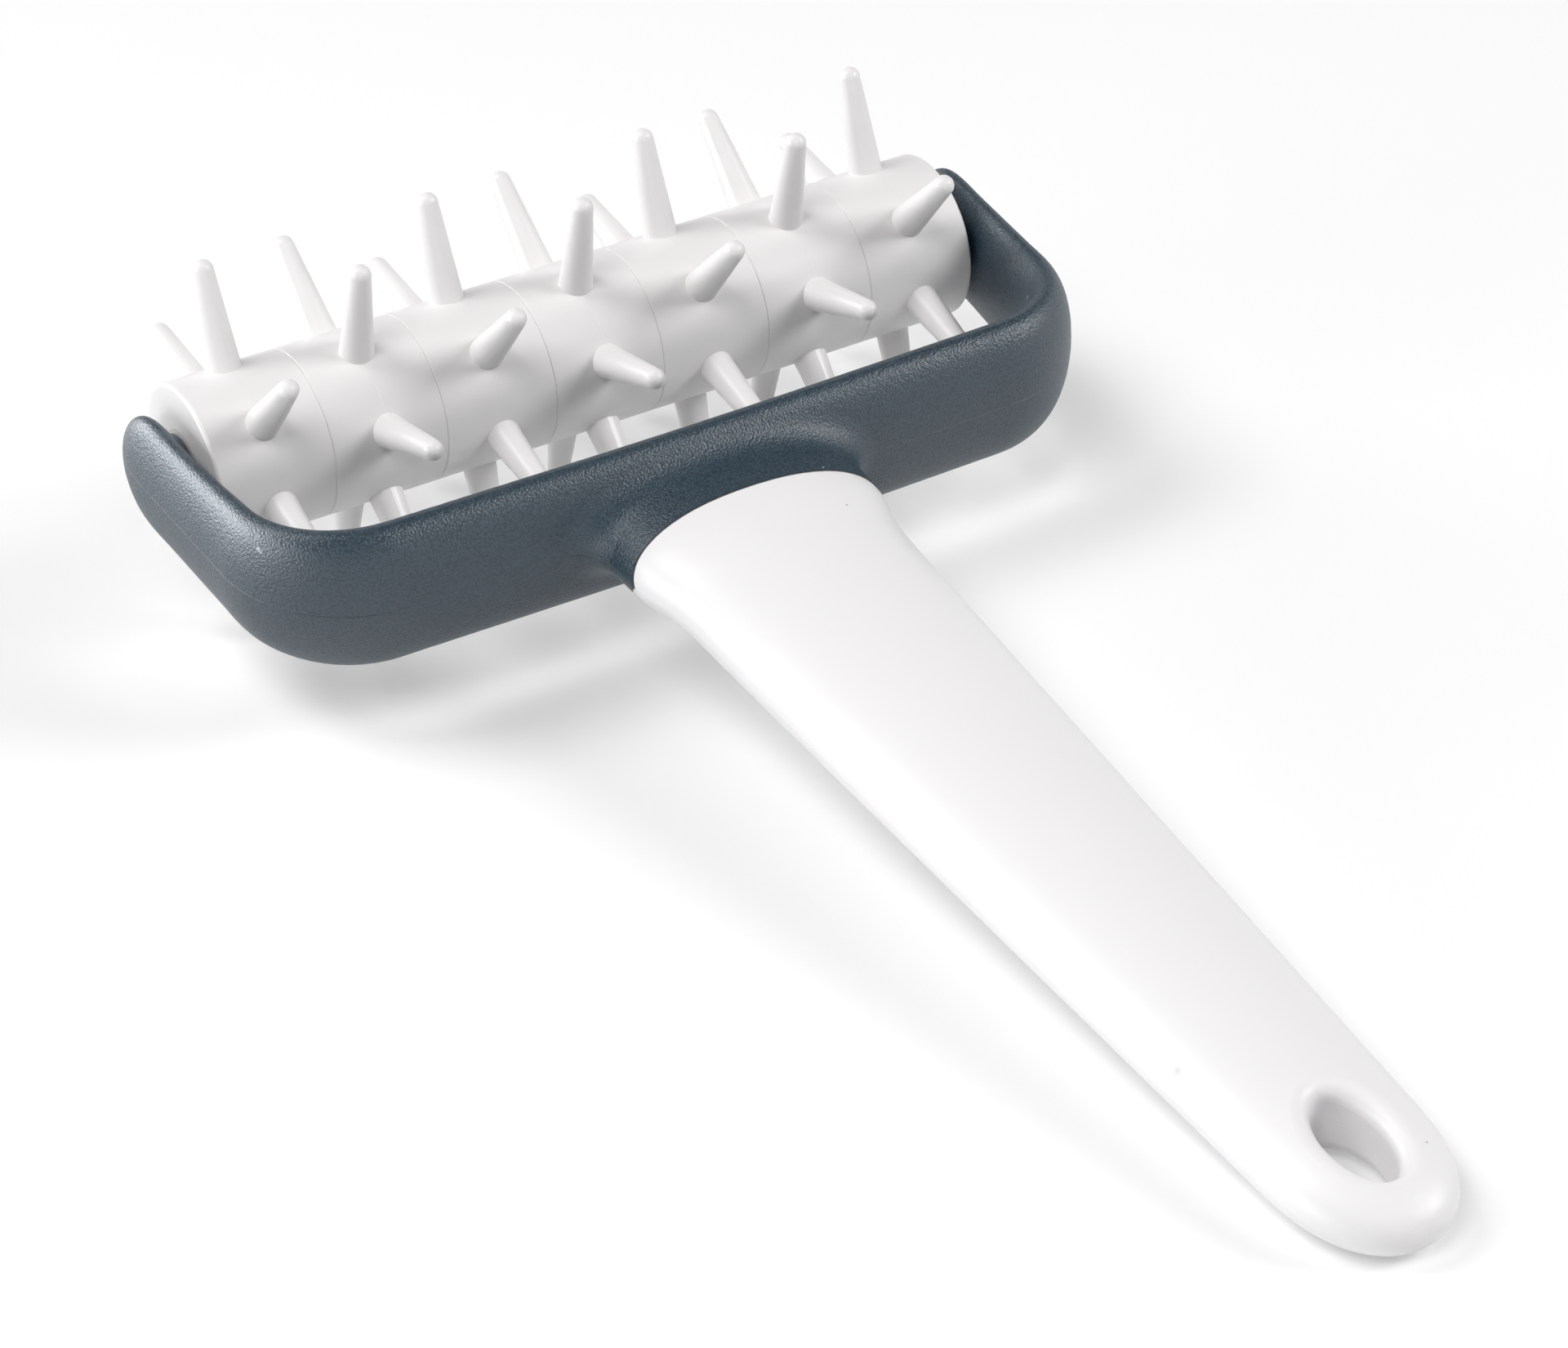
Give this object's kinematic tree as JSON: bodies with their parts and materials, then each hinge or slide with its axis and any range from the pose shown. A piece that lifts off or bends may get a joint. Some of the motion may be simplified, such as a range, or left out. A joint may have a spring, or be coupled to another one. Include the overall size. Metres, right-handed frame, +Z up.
{
  "type": "dough docker",
  "caption": "Hand dough docker: a spiked plastic roller turns in a dark yoke, on a long flat white handle with an oval hanging hole.",
  "frame": {"origin": "under the middle of the whole object's box, on the board that it stands on", "axes": "+X along the axle, the handle towards -Y, +Z up from the board"},
  "size_m": [0.125, 0.2131, 0.0497],
  "materials": {
    "yoke_plastic": "fine leather grain",
    "handle_plastic": "satin, slightly glossy",
    "roller_plastic": "smooth moulded",
    "core_plastic": "as moulded",
    "bush_plastic": "as moulded",
    "axle_steel": "drawn"
  },
  "bodies": {
    "frame": {"yoke": "yoke_plastic", "axle_rod": "axle_steel", "handle_upper_shell": "handle_plastic", "handle_lower_shell": "handle_plastic"},
    "roller": {"roller_core": "core_plastic", "roller_bush_left": "bush_plastic", "roller_bush_right": "bush_plastic", "spiked_ring_1": "roller_plastic", "spiked_ring_2": "roller_plastic", "spiked_ring_3": "roller_plastic", "spiked_ring_4": "roller_plastic", "spiked_ring_5": "roller_plastic", "spiked_ring_6": "roller_plastic", "spiked_ring_7": "roller_plastic"}
  },
  "joints": [
    {"name": "roller_spin", "type": "hinge", "parent": "frame", "child": "roller", "pos_m": [0, 0.08167, 0.02487], "axis": [1, 0, 0], "continuous": true}
  ]
}
